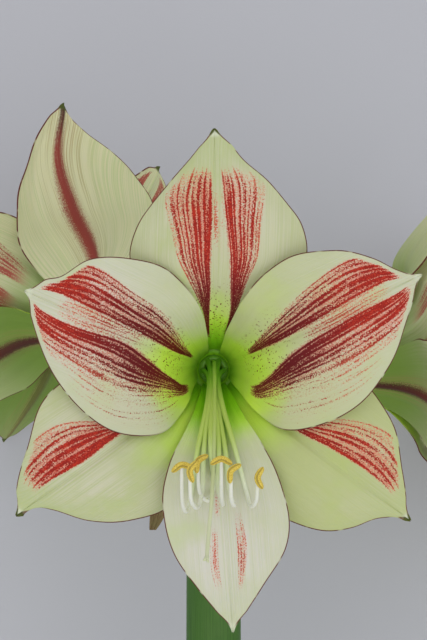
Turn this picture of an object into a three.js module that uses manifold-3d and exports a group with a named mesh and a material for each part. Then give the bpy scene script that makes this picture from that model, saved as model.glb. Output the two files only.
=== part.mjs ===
// A cut amaryllis: one leafless scape with an umbel of three funnel-shaped blooms, laid on its side.
// Millimetres. The plant is modelled upright first: x to the right, y away from the first bloom's
// face, z up the scape, with the origin at the middle of the scape's top. It is laid down at the end.
import * as THREE from 'three';
import { mergeVertices } from 'three/addons/utils/BufferGeometryUtils.js';
import Module from 'manifold-3d';

const wasm = await Module();
wasm.setup();

// Driving dimensions
const GAP = 0.3; // between pieces that rest on each other
const SCAPE = { length: 400, topRadius: 12.6, cutRadius: 14, squash: 0.92, wall: 4, sides: 16 };
const UMBEL = { pedicelRadius: 4.4, ringRadius: 5.8, shoulder: 10.8 };
const TUBE = { length: 24, ovary: 15, ovaryRadius: 7, waistRadius: 5.4, rimRadius: 10.6, boreRadius: 6.9 };
const FUNNEL = { depth: 52, throat: 11, seat: 9.5, limbStart: 45 };
const BLADE = { middle: 1.2, edge: 0.9 };
const INNER_WHORL = { seat: 7.8, lift: 3.6, liftEnd: 34 };
const FILAMENT = { ringRadius: 5.4, baseRadius: 1, tipRadius: 0.75, sides: 5 };
const ANTHER = { length: 9, radius: 1.35, bend: 2.2 };
const STYLE = { radius: 1.1, stigmaRadius: 1.7, steps: 9, sides: 6 };
const STANCE = { tilt: 13.842, roll: 0.905, lift: 108.191, shiftX: -20.438, shiftY: 98.594 };

// Each tepal as seen from the front of its bloom: the outline of both sides from the throat to the
// tip, x to the right and y up from the middle of the throat. "from" and "to" are the directions of
// the two corners of its foot on the tube, in degrees.
const TEPALS = [
  {
    name: 'top_sepal', whorl: 'outer', tip: [0.4, 102.4], from: 48, to: 132,
    right: [
      [11, 17], [21, 29], [33, 40], [39.5, 49], [37, 62], [31.7, 70.5], [23.4, 80], [12.8, 89.3], [5.8, 98],
    ],
    left: [[-11, 17], [-20, 29], [-30, 38], [-35.5, 48], [-32, 61], [-26.4, 70.5], [-17.3, 81], [-6.6, 94]],
    lift: 3, arch: 3, margin: -4, ripple: 0.6, phase: 0.1,
  },
  {
    name: 'lower_left_sepal', whorl: 'outer', tip: [-83.2, -60.5], from: 171, to: 261,
    right: [[-19, 3.5], [-36, 6], [-52, 3], [-65.2, -5], [-72.5, -13.4], [-78.9, -33], [-83, -48]],
    left: [
      [-4.5, -20], [-7, -36], [-13, -50], [-22, -58.7], [-35.2, -62.3], [-52.5, -62.8], [-67, -58], [-76, -57],
    ],
    lift: -2, arch: 2.5, margin: -2, ripple: 1, phase: 0.4,
  },
  {
    name: 'lower_right_sepal', whorl: 'outer', tip: [83, -62.6], from: 283, to: 366,
    right: [[6, -22], [9, -38], [18, -52], [32, -62.6], [46, -66.6], [58.1, -65.8], [69.3, -61.6], [79, -61.5]],
    left: [[21, 1], [38, 3], [54, 1], [66.5, -7.6], [75.8, -22.4], [79.8, -41.7], [82, -57]],
    lift: -2, arch: 2.5, margin: -2, ripple: 1, phase: 0.7,
  },
  {
    name: 'upper_left_petal', whorl: 'inner', tip: [-78.8, 34.1], from: 107, to: 206,
    right: [[-2.6, 15], [-5.7, 27.3], [-18.1, 42.2], [-34.9, 47.8], [-51.8, 47.3], [-64, 40.2], [-70, 39]],
    left: [[-13, -17], [-22, -25.5], [-40.6, -25], [-57.5, -13.2], [-69.8, 4.8], [-76, 22.3], [-78, 31]],
    lift: 2, arch: 3, margin: 2, ripple: 1.6, phase: 0.25,
  },
  {
    name: 'upper_right_petal', whorl: 'inner', tip: [87.1, 40.9], from: -30, to: 71,
    right: [[20, -18.5], [29.5, -23.9], [46.4, -21.3], [61.5, -12.6], [73.7, 3.1], [81.3, 22.9], [85.3, 36]],
    left: [[5.9, 18], [16.2, 36.2], [31.3, 47.9], [51.1, 51.2], [66.7, 47.9], [78, 42.6]],
    lift: 2, arch: 3, margin: 2, ripple: 1.6, phase: 0.6,
  },
  {
    name: 'bottom_petal', whorl: 'inner', tip: [8.1, -108.9], from: 232, to: 312,
    right: [[-9.2, -19.3], [-19, -39.3], [-21.3, -55], [-16.4, -76.2], [-7, -90], [4, -104]],
    left: [[13.7, -19.3], [24.9, -38.2], [31.6, -60], [30.2, -73.5], [21, -89], [11.4, -104.5]],
    lift: 1, arch: 2, margin: 3, ripple: 1, phase: 0.9,
  },
];

// The six stamens, by where the filament bends and where its anther hangs, seen as the tepals are,
// with z towards the viewer, and the direction of the anther there in degrees.
const STAMENS = [
  { bend: [-11.3, -57, 68], anther: [-13, -37, 80], turn: 10 },
  { bend: [-6.7, -55, 73], anther: [-9.6, -39, 86], turn: 80 },
  { bend: [-2, -53, 62], anther: [-6.4, -36, 73], turn: 58 },
  { bend: [3.8, -54, 69], anther: [3.2, -34.5, 81], turn: 0 },
  { bend: [8.5, -54, 75], anther: [7, -39, 88], turn: 60 },
  { bend: [15.5, -55, 65], anther: [18, -42.5, 77], turn: 88 },
];
const STYLE_PATH = [
  [0.3, 3.4, 14], [0.5, -7, 37], [0.3, -28, 62], [-0.6, -49, 76], [-2, -65, 86], [-2.7, -73.5, 93],
];

// Where each bloom's throat is, and how it faces: degrees round the scape from the first bloom
// towards the left, the rise over level, and the turn of its tepals, clockwise from its front.
// "close" draws the limb of a bloom that is less open forward, and "recurve" bends it back. "own"
// holds what is different in single tepals of a bloom, and a "rib" is the way of a bent midrib.
const BLOOMS = [
  {
    name: 'front', throat: [0, -60, 68], around: 0, pedicel: 0, rise: 0, turn: 0,
    close: 0, recurve: 0.0016, size: 1, rows: 12, columns: 10,
  },
  {
    name: 'left', throat: [-46.5, 12, 77.5], around: 144.4, pedicel: 120, rise: 27.8, turn: 9.3,
    close: 0.5, recurve: -0.0008, size: 0.93, rows: 10, columns: 8,
    own: {
      top_sepal: {
        tip: [-1.2, 100.3], rib: [[-8, 28], [2.3, 53], [7, 76]],
        right: [
          [11, 14], [23, 22], [31.3, 34], [34.8, 47.3], [33.6, 57], [28.1, 71], [16, 88.9], [6.3, 97.3],
        ],
        left: [
          [-13, 11], [-28, 16], [-42, 26], [-48.6, 38], [-47.8, 48.5], [-37.7, 63.6], [-23.9, 77],
          [-10.8, 86.6], [-4, 93.5],
        ],
      },
      upper_left_petal: {
        tip: [-62.5, 58.5],
        right: [[-2.6, 15], [-6, 28], [-17, 44], [-31, 53.5], [-44, 58.5], [-54, 60.5]],
        left: [
          [-13, -17], [-22, -25.5], [-40.6, -25], [-55, -12], [-64, 5], [-68, 22], [-68, 40], [-65.5, 51],
        ],
      },
    },
  },
  {
    name: 'right', throat: [46, 20, 62.9], around: -97.4, pedicel: -120, rise: 9.8, turn: 6.9,
    close: 1.5, recurve: 0, size: 1, rows: 10, columns: 8,
    own: {
      top_sepal: {
        left: [[-11, 17], [-22, 28], [-34, 37], [-39, 48], [-37, 61], [-29, 71], [-19, 81], [-7, 94]],
        margin: -1,
      },
    },
  },
];

// The two withered valves of the spathe: direction round the scape and the path of the middle line
// as distance from the axis and height.
const SPATHE = {
  thickness: 1, halfWidth: 7, columns: 6, rows: 9, pleat: 1.1,
  valves: [
    { name: 'left', around: 70, path: [[11.9, 0.4], [15, 9], [21, 13], [26, 8], [28, -2], [27.5, -11]] },
    { name: 'right', around: -75, path: [[11.9, 0.4], [14.5, 10], [19, 17], [25, 17], [29, 9], [30.5, -3]] },
  ],
};

const COLOURS = {
  scape: { color: 0x3e6832, roughness: 0.5, metalness: 0 },
  spathe: { color: 0x8a7c4e, roughness: 0.85, metalness: 0 },
  tube: { color: 0x6d9440, roughness: 0.5, metalness: 0 },
  sepal: { color: 0xc9d3ad, roughness: 0.5, metalness: 0 },
  petal: { color: 0xd9dccb, roughness: 0.5, metalness: 0 },
  stamens: { color: 0xdfe3b0, roughness: 0.5, metalness: 0 },
  style: { color: 0xe6e6c4, roughness: 0.5, metalness: 0 },
};

const radians = THREE.MathUtils.degToRad;
const { lerp, smoothstep } = THREE.MathUtils;
const vectors = (points) => points.map(([x, y, z = 0]) => new THREE.Vector3(x, y, z));
const polar = (radius, degrees) => [radius * Math.cos(radians(degrees)), radius * Math.sin(radians(degrees))];

// Solids

function solidFrom(points, triangles) {
  const geometry = new THREE.BufferGeometry();
  const coordinates = points.flatMap((p) => [p.x, p.y, p.z]);
  geometry.setAttribute('position', new THREE.Float32BufferAttribute(coordinates, 3));
  geometry.setIndex(triangles.flat());
  return geometry;
}

// Skins a row of rings of points and closes both ends with a fan.
function loft(rings) {
  const sides = rings[0].length;
  const points = rings.flat();
  const triangles = [];
  for (let i = 0; i + 1 < rings.length; i++) {
    for (let j = 0; j < sides; j++) {
      const a = i * sides + j;
      const b = i * sides + ((j + 1) % sides);
      triangles.push([a, b, b + sides], [a, b + sides, a + sides]);
    }
  }
  for (const end of [0, rings.length - 1]) {
    const middle = points.length;
    points.push(rings[end].reduce((sum, p) => sum.add(p), new THREE.Vector3()).divideScalar(sides));
    for (let j = 0; j < sides; j++) {
      const a = end * sides + j;
      const b = end * sides + ((j + 1) % sides);
      triangles.push(end === 0 ? [middle, b, a] : [middle, a, b]);
    }
  }
  return solidFrom(points, triangles);
}

// Rings round a curve. Each station is [fraction of the curve, radius].
function ringsAlong(curve, stations, sides) {
  const steps = 60;
  const frames = curve.computeFrenetFrames(steps);
  return stations.map(([fraction, radius]) => {
    const k = Math.round(fraction * steps);
    const centre = curve.getPointAt(fraction);
    return Array.from({ length: sides }, (_, j) => {
      const angle = (2 * Math.PI * j) / sides;
      return centre.clone()
        .addScaledVector(frames.normals[k], radius * Math.cos(angle))
        .addScaledVector(frames.binormals[k], radius * Math.sin(angle));
    });
  });
}

// A thin blade between two faces that lie half its thickness to each side of a grid of points.
function blade(grid, halfThickness) {
  const rows = grid.length;
  const columns = grid[0].length;
  const at = (i, j) => grid[Math.min(Math.max(i, 0), rows - 1)][Math.min(Math.max(j, 0), columns - 1)];
  const front = [];
  const back = [];
  for (let i = 0; i < rows; i++) {
    for (let j = 0; j < columns; j++) {
      const along = at(i + 1, j).clone().sub(at(i - 1, j));
      const across = at(i, j + 1).clone().sub(at(i, j - 1));
      const offset = across.cross(along).normalize().multiplyScalar(halfThickness(i, j));
      front.push(at(i, j).clone().add(offset));
      back.push(at(i, j).clone().sub(offset));
    }
  }
  const triangles = [];
  const behind = front.length;
  const quad = (a, b, c, d) => triangles.push([a, b, c], [a, c, d]);
  for (let i = 0; i + 1 < rows; i++) {
    for (let j = 0; j + 1 < columns; j++) {
      const a = i * columns + j;
      const [b, c, d] = [a + 1, a + columns + 1, a + columns];
      quad(a, b, c, d);
      triangles.push([behind + a, behind + c, behind + b], [behind + a, behind + d, behind + c]);
    }
  }
  for (let j = 0; j + 1 < columns; j++) {
    const last = (rows - 1) * columns + j;
    quad(j, behind + j, behind + j + 1, j + 1);
    quad(last, last + 1, behind + last + 1, behind + last);
  }
  for (let i = 0; i + 1 < rows; i++) {
    const left = i * columns;
    const right = left + columns - 1;
    quad(left, left + columns, behind + left + columns, behind + left);
    quad(right, behind + right, behind + right + columns, right + columns);
  }
  return solidFrom([...front, ...back], triangles);
}

function manifoldOf(geometry) {
  const merged = mergeVertices(geometry.clone(), 1e-4);
  return new wasm.Manifold(new wasm.Mesh({
    numProp: 3,
    vertProperties: new Float32Array(merged.attributes.position.array),
    triVerts: new Uint32Array(merged.index.array),
  }));
}

// Joins solids that have grown together into one.
function fuse(geometries) {
  const mesh = geometries.map(manifoldOf).reduce((all, next) => all.add(next)).getMesh();
  const joined = new THREE.BufferGeometry();
  joined.setAttribute('position', new THREE.BufferAttribute(new Float32Array(mesh.vertProperties), 3));
  joined.setIndex(Array.from(mesh.triVerts));
  return joined;
}

function named(name, geometry, look) {
  const mesh = new THREE.Mesh(geometry, new THREE.MeshStandardMaterial(COLOURS[look]));
  mesh.name = name;
  return mesh;
}

// The scape: a tapered, slightly flattened stalk, hollow up to just under the umbel.
function scape() {
  const ring = (radius, z) => Array.from({ length: SCAPE.sides }, (_, j) => {
    const [x, y] = polar(radius, (360 * j) / SCAPE.sides);
    return new THREE.Vector3(x, y * SCAPE.squash, z);
  });
  const boreTop = -12;
  return loft([
    ring(SCAPE.topRadius - SCAPE.wall, boreTop),
    ring(SCAPE.cutRadius - SCAPE.wall, -SCAPE.length),
    ring(SCAPE.cutRadius, -SCAPE.length),
    ring(lerp(SCAPE.cutRadius, SCAPE.topRadius, 0.5), -SCAPE.length / 2),
    ring(SCAPE.topRadius, -14),
    ring(SCAPE.topRadius + 1.2, -6),
    ring(SCAPE.topRadius + 1, -1),
    ring(SCAPE.topRadius + 0.2, 0),
  ]);
}

// A withered valve of the spathe, pleated along its length, that arches over and hangs down.
function spatheValve({ around, path }) {
  const outward = new THREE.Vector3(-Math.sin(radians(around)), -Math.cos(radians(around)), 0);
  const sideways = new THREE.Vector3(outward.y, -outward.x, 0);
  const curve = new THREE.CatmullRomCurve3(vectors(path));
  const grid = Array.from({ length: SPATHE.rows + 1 }, (_, i) => {
    const along = i / SPATHE.rows;
    const { x: reach, y: height } = curve.getPointAt(along);
    const width = SPATHE.halfWidth * (1 - 0.9 * along ** 2.2);
    return Array.from({ length: SPATHE.columns + 1 }, (_, j) => {
      const across = (2 * j) / SPATHE.columns - 1;
      const pleat = SPATHE.pleat * smoothstep(along, 0, 0.35) * (1 - along) * (j % 2);
      const wrap = lerp(UMBEL.shoulder + 1.1, 60, smoothstep(along, 0, 0.4));
      const angle = (across * width) / wrap;
      const distance = reach - wrap * (1 - Math.cos(angle)) + pleat;
      return outward.clone().multiplyScalar(distance)
        .addScaledVector(sideways, wrap * Math.sin(angle)).setZ(height);
    });
  });
  return blade(grid, () => SPATHE.thickness / 2);
}

// Blooms

function bloomFrame({ throat, around, rise, turn }) {
  const [a, r] = [radians(around), radians(rise)];
  const facing = new THREE.Vector3(-Math.sin(a) * Math.cos(r), -Math.cos(a) * Math.cos(r), Math.sin(r));
  const level = new THREE.Vector3(Math.cos(a), -Math.sin(a), 0);
  const up = facing.clone().cross(level);
  const turned = (first, second) => first.clone().multiplyScalar(Math.cos(radians(turn)))
    .addScaledVector(second, Math.sin(radians(turn)));
  const right = turned(level, up.clone().negate());
  const top = turned(up, level);
  return new THREE.Matrix4().makeBasis(right, top, facing).setPosition(...throat);
}

function funnelDepth(radius, { close, recurve }) {
  const flare = FUNNEL.depth * (1 - Math.exp((FUNNEL.seat - radius) / FUNNEL.throat));
  const limb = Math.max(0, radius - FUNNEL.limbStart);
  return flare + (close * limb * limb) / (limb + 15) - recurve * limb * limb;
}

// The inner whorl lies in front of the outer one: closer to the axis at its foot, then above it.
function whorlDepth(radius, bloom, whorl) {
  if (whorl === 'outer') return funnelDepth(radius, bloom);
  const rise = INNER_WHORL.lift * smoothstep(radius, INNER_WHORL.seat, INNER_WHORL.liftEnd);
  return funnelDepth(radius + FUNNEL.seat - INNER_WHORL.seat, bloom) + rise;
}

// A line of a tepal, from its foot to its tip, laid on the funnel and cut into equal lengths.
function laidOnFunnel(points, rows, depthAt) {
  const fine = new THREE.CatmullRomCurve3(vectors(points)).getPoints(120);
  fine.forEach((p) => p.setZ(depthAt(Math.hypot(p.x, p.y))));
  const lengths = [0];
  for (let k = 1; k < fine.length; k++) lengths.push(lengths[k - 1] + fine[k].distanceTo(fine[k - 1]));
  return Array.from({ length: rows + 1 }, (_, i) => {
    const target = (lengths.at(-1) * i) / rows;
    const k = Math.max(1, lengths.findIndex((length) => length >= target - 1e-9));
    return fine[k - 1].clone().lerp(fine[k], (target - lengths[k - 1]) / (lengths[k] - lengths[k - 1]));
  });
}

function tepal(shape, bloom) {
  const { rows, columns } = bloom;
  const depthAt = (radius) => whorlDepth(radius, bloom, shape.whorl);
  const seat = shape.whorl === 'outer' ? FUNNEL.seat : INNER_WHORL.seat;
  const grown = (points) => points.map(([x, y]) => [x * bloom.size, y * bloom.size]);
  const tip = new THREE.Vector2(...shape.tip).multiplyScalar(bloom.size);
  const point = tip.clone().normalize();
  const beside = (side) => [tip.x + side * point.y * 0.7, tip.y - side * point.x * 0.7];
  const middleFoot = polar(seat, (shape.from + shape.to) / 2);
  const rightSide = laidOnFunnel([polar(seat, shape.from), ...grown(shape.right), beside(1)], rows, depthAt);
  const leftSide = laidOnFunnel([polar(seat, shape.to), ...grown(shape.left), beside(-1)], rows, depthAt);
  const rib = grown(shape.rib ?? [[shape.tip[0] / 2, shape.tip[1] / 2]]);
  const midrib = laidOnFunnel([middleFoot, ...rib, [tip.x, tip.y]], rows, depthAt);
  const grid = midrib.map((middle, i) => Array.from({ length: columns + 1 }, (_, j) => {
    const along = i / rows;
    const across = (2 * j) / columns - 1;
    const half = rightSide[i].clone().sub(leftSide[i]).multiplyScalar(across / 2);
    const centre = rightSide[i].clone().add(leftSide[i]).multiplyScalar(0.5);
    const p = middle.clone().add(half).addScaledVector(centre.sub(middle), across ** 2);
    return p.setZ(depthAt(Math.hypot(p.x, p.y)) + relief(shape, along, across));
  }));
  const halfThickness = (i, j) => lerp(BLADE.middle, BLADE.edge, Math.abs((2 * j) / columns - 1)) / 2;
  return blade(grid, halfThickness);
}

// How far a tepal stands in front of the plain funnel.
function relief({ lift, arch, margin, ripple, phase }, along, across) {
  const body = Math.sin(Math.PI * along ** 0.8);
  const lobes = arch * Math.sin(Math.PI * Math.abs(across)) * body;
  const sides = margin * across ** 2 * body;
  const turns = 2.2 * along + phase + 0.3 * Math.sign(across);
  const waves = ripple * across ** 4 * body * Math.sin(2 * Math.PI * turns);
  return lift * along ** 3 + lobes + sides + waves;
}

// The pedicel, the ovary and the tube of the perianth, which grow as one, with the tube's bore.
function tube(bloom) {
  const frame = bloomFrame(bloom);
  const throat = new THREE.Vector3().setFromMatrixPosition(frame);
  const facing = new THREE.Vector3().setFromMatrixColumn(frame, 2);
  const [x, y] = polar(UMBEL.ringRadius, -90 - bloom.pedicel);
  const behind = TUBE.length + TUBE.ovary;
  const rimAt = throat.clone().addScaledVector(facing, -GAP - 0.4);
  const path = new THREE.CatmullRomCurve3([
    new THREE.Vector3(x, y, GAP),
    new THREE.Vector3(x, y, 10),
    rimAt.clone().addScaledVector(facing, -behind - 5).lerp(new THREE.Vector3(x * 1.4, y * 1.4, 24), 0.35),
    rimAt.clone().addScaledVector(facing, -behind),
    rimAt.clone().addScaledVector(facing, -TUBE.length),
    rimAt.clone().addScaledVector(facing, -TUBE.length / 2),
    rimAt,
  ]);
  const total = path.getLength();
  const from = (distance) => 1 - distance / total;
  const rings = ringsAlong(path, [
    [0, UMBEL.pedicelRadius],
    [from(behind) * 0.35, UMBEL.pedicelRadius * 0.95],
    [from(behind) * 0.7, UMBEL.pedicelRadius * 0.95],
    [from(behind), UMBEL.pedicelRadius * 1.05],
    [from(behind - 4), TUBE.ovaryRadius * 0.93],
    [from(behind - 8), TUBE.ovaryRadius],
    [from(TUBE.length + 2), TUBE.ovaryRadius * 0.88],
    [from(TUBE.length - 3), TUBE.waistRadius],
    [from(TUBE.length - 12), TUBE.waistRadius * 1.25],
    [from(5), TUBE.rimRadius * 0.87],
    [1, TUBE.rimRadius],
    [1, TUBE.boreRadius],
    [from(8), TUBE.boreRadius * 0.72],
    [from(16), TUBE.boreRadius * 0.5],
  ], 12);
  return loft(rings);
}

function alongPath(points, stations, sides) {
  return loft(ringsAlong(new THREE.CatmullRomCurve3(vectors(points)), stations, sides));
}

// Six filaments that rise from a low ring in the throat, lean on the lower petal and turn up at
// their ends, each with its anther across its tip.
function stamens({ close }) {
  const forward = 7 * close;
  const ring = new THREE.TorusGeometry(FILAMENT.ringRadius, 0.9, 4, 12).translate(0, 0, -0.6);
  ring.deleteAttribute('normal');
  ring.deleteAttribute('uv');
  const stations = [0, 0.14, 0.25, 0.36, 0.5, 0.7, 0.78, 0.86, 1]
    .map((fraction) => [fraction, lerp(FILAMENT.baseRadius, FILAMENT.tipRadius, fraction)]);
  const parts = [ring];
  STAMENS.forEach(({ bend, anther, turn }, i) => {
    const [x, y] = polar(FILAMENT.ringRadius, 180 + 60 * (i < 3 ? -i : i - 2));
    const foot = [x, y, -0.9];
    const low = [x * 0.75, y * 0.4 - 1.5, 14];
    const middle = [bend[0] * 0.25, y * 0.25 - 13, 36];
    const high = [bend[0] * 0.6, y * 0.15 - 33, 57];
    const turning = [0.35, 0.12, 0.6].map((share, k) => lerp(bend[k], anther[k], share));
    const path = [foot, low, ...[middle, high, bend, turning, anther].map((p) => ahead(p, forward))];
    parts.push(alongPath(path, stations, FILAMENT.sides));
    parts.push(antherAt(ahead(anther, forward), turn));
  });
  return fuse(parts);
}

const ahead = ([x, y, z], distance) => [x, y, z + distance];

function antherAt([x, y, z], turn) {
  const [dx, dy] = polar(ANTHER.length / 2, turn);
  const [bx, by] = polar(ANTHER.bend, turn - 90);
  const ends = [[x - dx + bx, y - dy + by, z], [x, y, z], [x + dx + bx, y + dy + by, z]];
  const stations = [[0, 0.45], [0.25, 1], [0.75, 1], [1, 0.45]];
  return alongPath(ends, stations.map(([f, k]) => [f, k * ANTHER.radius]), 5);
}

// The style lies among the filaments, reaches past them and ends in a three-lobed stigma.
function style({ close }) {
  const foot = [0, 0, -16.1];
  const reach = STYLE_PATH.map((p, i) => ahead(p, i && 7 * close));
  const points = [foot, [0, 0, -8], ...reach];
  const stations = Array.from({ length: STYLE.steps + 1 }, (_, k) => [k / STYLE.steps, STYLE.radius]);
  const parts = [alongPath(points, stations, STYLE.sides)];
  const end = new THREE.Vector3(...reach.at(-1));
  for (let lobe = 0; lobe < 3; lobe++) {
    const [x, y] = polar(STYLE.stigmaRadius, 90 + 120 * lobe);
    const ball = new THREE.IcosahedronGeometry(STYLE.stigmaRadius * 0.75, 0);
    ball.translate(end.x + x * 0.6, end.y + y * 0.6, end.z);
    ball.deleteAttribute('normal');
    ball.deleteAttribute('uv');
    parts.push(ball);
  }
  return fuse(parts);
}

function bloom(settings) {
  const group = new THREE.Group();
  group.matrixAutoUpdate = false;
  group.matrix.copy(bloomFrame(settings));
  for (const common of TEPALS) {
    const shape = { ...common, ...settings.own?.[common.name] };
    const look = shape.whorl === 'outer' ? 'sepal' : 'petal';
    group.add(named(`${settings.name}_${shape.name}`, tepal(shape, settings), look));
  }
  group.add(named(`${settings.name}_stamens`, stamens(settings), 'stamens'));
  group.add(named(`${settings.name}_style`, style(settings), 'style'));
  return group;
}

// The whole plant, upright, and then laid down with the first bloom turned up.
const plant = new THREE.Group();
plant.add(named('scape', scape(), 'scape'));
for (const valve of SPATHE.valves) plant.add(named(`${valve.name}_spathe_valve`, spatheValve(valve), 'spathe'));
for (const settings of BLOOMS) {
  plant.add(named(`${settings.name}_flower_tube`, tube(settings), 'tube'));
  plant.add(bloom(settings));
}

const amaryllis = new THREE.Group();
plant.rotation.set(radians(-90 + STANCE.tilt), 0, 0);
amaryllis.add(plant);
amaryllis.rotation.set(0, radians(STANCE.roll), 0);
amaryllis.position.set(STANCE.shiftX, STANCE.shiftY, STANCE.lift);

export default amaryllis;
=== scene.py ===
import math

import bpy
import numpy as np
from mathutils import Matrix, Vector


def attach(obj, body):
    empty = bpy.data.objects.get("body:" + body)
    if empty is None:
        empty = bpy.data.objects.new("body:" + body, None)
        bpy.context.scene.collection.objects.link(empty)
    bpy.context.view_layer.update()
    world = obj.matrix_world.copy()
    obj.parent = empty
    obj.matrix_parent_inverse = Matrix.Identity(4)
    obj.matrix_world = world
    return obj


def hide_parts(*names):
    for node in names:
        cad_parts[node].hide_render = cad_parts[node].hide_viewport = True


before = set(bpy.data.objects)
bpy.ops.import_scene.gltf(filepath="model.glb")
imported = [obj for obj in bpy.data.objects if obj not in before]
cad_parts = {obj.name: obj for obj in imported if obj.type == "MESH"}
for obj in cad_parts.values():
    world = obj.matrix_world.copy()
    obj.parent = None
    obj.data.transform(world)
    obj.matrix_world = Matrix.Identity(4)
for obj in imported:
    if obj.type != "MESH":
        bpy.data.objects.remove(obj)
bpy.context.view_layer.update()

MM = 0.001

# The plant's lie, the same as the solids': tilt and roll in degrees, then the shift.
STANCE = {"tilt": 13.842, "roll": 0.905, "shift": (-20.438, 98.594, 108.191)}

# Where the photograph was taken from in the plant's own coordinates, and the picture's scale and height.
CAMERA = {"place": (0, -1061, 90), "focal_pixels": 2262, "height_pixels": 640, "sensor": 36}

# Driving dimensions, the same as the solids'
GAP = 0.3
SCAPE = {"length": 400, "top_radius": 12.6, "cut_radius": 14, "squash": 0.92, "wall": 4}
UMBEL = {"pedicel_radius": 4.4, "ring_radius": 5.8, "shoulder": 10.8}
TUBE = {
    "length": 24, "ovary": 15, "ovary_radius": 7,
    "waist_radius": 5.4, "rim_radius": 10.6, "bore_radius": 6.9,
}
FUNNEL = {"depth": 52, "throat": 11, "seat": 9.5, "limb_start": 45, "limb_bend": 15}
INNER_WHORL = {"seat": 7.8, "lift": 3.6, "lift_end": 34}

# A tepal's thickness in its middle and at its margin, less than in the solids.
BLADE = {"middle": 0.9, "edge": 0.5}

# A tepal's tip: its half width, where its rows are drawn in and by what share, and how far it curls.
TIP = {"half_width": 0.7, "drawn_from": 0.93, "drawn_in": 0.55, "curled_from": 0.94, "curl": 1.2}

# Low forms of a tepal that only the scene has, with the number of times that each repeats
MIDRIB = {"depth": 0.55, "half_width": 0.045}
FOLDS = {"height": 0.35, "count": 2.6}
FRILL = {"height": 0.7, "count": 5.5}
VEINS = {"height": 0.05, "count": 15}

# Each tepal's outline, seen from the front of its bloom, and its relief, as in the solids. Then the
# distance from the throat's middle that its lime green reaches, and those between which the deep fades;
# both greens are brighter than the tissue, as a painted glow.
TEPALS = {
    "top_sepal": {
        "whorl": "outer", "tip": (0.4, 102.4), "foot": (48, 132),
        "right": [(11, 17), (21, 29), (33, 40), (39.5, 49), (37, 62), (31.7, 70.5), (23.4, 80),
                  (12.8, 89.3), (5.8, 98)],
        "left": [(-11, 17), (-20, 29), (-30, 38), (-35.5, 48), (-32, 61), (-26.4, 70.5), (-17.3, 81),
                 (-6.6, 94)],
        "lift": 3, "arch": 3, "margin": -4, "ripple": 0.6, "phase": 0.1, "lime": 40, "deep": (10, 26),
    },
    "lower_left_sepal": {
        "whorl": "outer", "tip": (-83.2, -60.5), "foot": (171, 261),
        "right": [(-19, 3.5), (-36, 6), (-52, 3), (-65.2, -5), (-72.5, -13.4), (-78.9, -33), (-83, -48)],
        "left": [(-4.5, -20), (-7, -36), (-13, -50), (-22, -58.7), (-35.2, -62.3), (-52.5, -62.8),
                 (-67, -58), (-76, -57)],
        "lift": -2, "arch": 2.5, "margin": -2, "ripple": 1, "phase": 0.4, "lime": 56, "deep": (12, 23),
    },
    "lower_right_sepal": {
        "whorl": "outer", "tip": (83, -62.6), "foot": (283, 366),
        "right": [(6, -22), (9, -38), (18, -52), (32, -62.6), (46, -66.6), (58.1, -65.8), (69.3, -61.6),
                  (79, -61.5)],
        "left": [(21, 1), (38, 3), (54, 1), (66.5, -7.6), (75.8, -22.4), (79.8, -41.7), (82, -57)],
        "lift": -2, "arch": 2.5, "margin": -2, "ripple": 1, "phase": 0.7, "lime": 54, "deep": (12, 23),
    },
    "upper_left_petal": {
        "whorl": "inner", "tip": (-78.8, 34.1), "foot": (107, 206),
        "right": [(-2.6, 15), (-5.7, 27.3), (-18.1, 42.2), (-34.9, 47.8), (-51.8, 47.3), (-64, 40.2),
                  (-70, 39)],
        "left": [(-13, -17), (-22, -25.5), (-40.6, -25), (-57.5, -13.2), (-69.8, 4.8), (-76, 22.3),
                 (-78, 31)],
        "lift": 2, "arch": 3, "margin": 2, "ripple": 1.6, "phase": 0.25, "lime": 39, "deep": (5, 12),
    },
    "upper_right_petal": {
        "whorl": "inner", "tip": (87.1, 40.9), "foot": (-30, 71),
        "right": [(20, -18.5), (29.5, -23.9), (46.4, -21.3), (61.5, -12.6), (73.7, 3.1), (81.3, 22.9),
                  (85.3, 36)],
        "left": [(5.9, 18), (16.2, 36.2), (31.3, 47.9), (51.1, 51.2), (66.7, 47.9), (78, 42.6)],
        "lift": 2, "arch": 3, "margin": 2, "ripple": 1.6, "phase": 0.6, "lime": 40, "deep": (5, 12),
    },
    "bottom_petal": {
        "whorl": "inner", "tip": (8.1, -108.9), "foot": (232, 312),
        "right": [(-9.2, -19.3), (-19, -39.3), (-21.3, -55), (-16.4, -76.2), (-7, -90), (4, -104)],
        "left": [(13.7, -19.3), (24.9, -38.2), (31.6, -60), (30.2, -73.5), (21, -89), (11.4, -104.5)],
        "lift": 1, "arch": 2, "margin": 3, "ripple": 1, "phase": 0.9, "lime": 40, "deep": (15, 32),
    },
}

# Where each bloom is and how it faces, as in the solids.
BLOOMS = {
    "front": {
        "throat": (0, -60, 68), "around": 0, "pedicel": 0, "rise": 0, "turn": 0,
        "close": 0, "recurve": 0.0016, "size": 1, "rows": 132, "columns": 96,
    },
    "left": {
        "throat": (-46.5, 12, 77.5), "around": 144.4, "pedicel": 120, "rise": 27.8, "turn": 9.3,
        "close": 0.5, "recurve": -0.0008, "size": 0.93, "rows": 100, "columns": 72,
    },
    "right": {
        "throat": (46, 20, 62.9), "around": -97.4, "pedicel": -120, "rise": 9.8, "turn": 6.9,
        "close": 1.5, "recurve": 0, "size": 1, "rows": 100, "columns": 72,
    },
}
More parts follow.
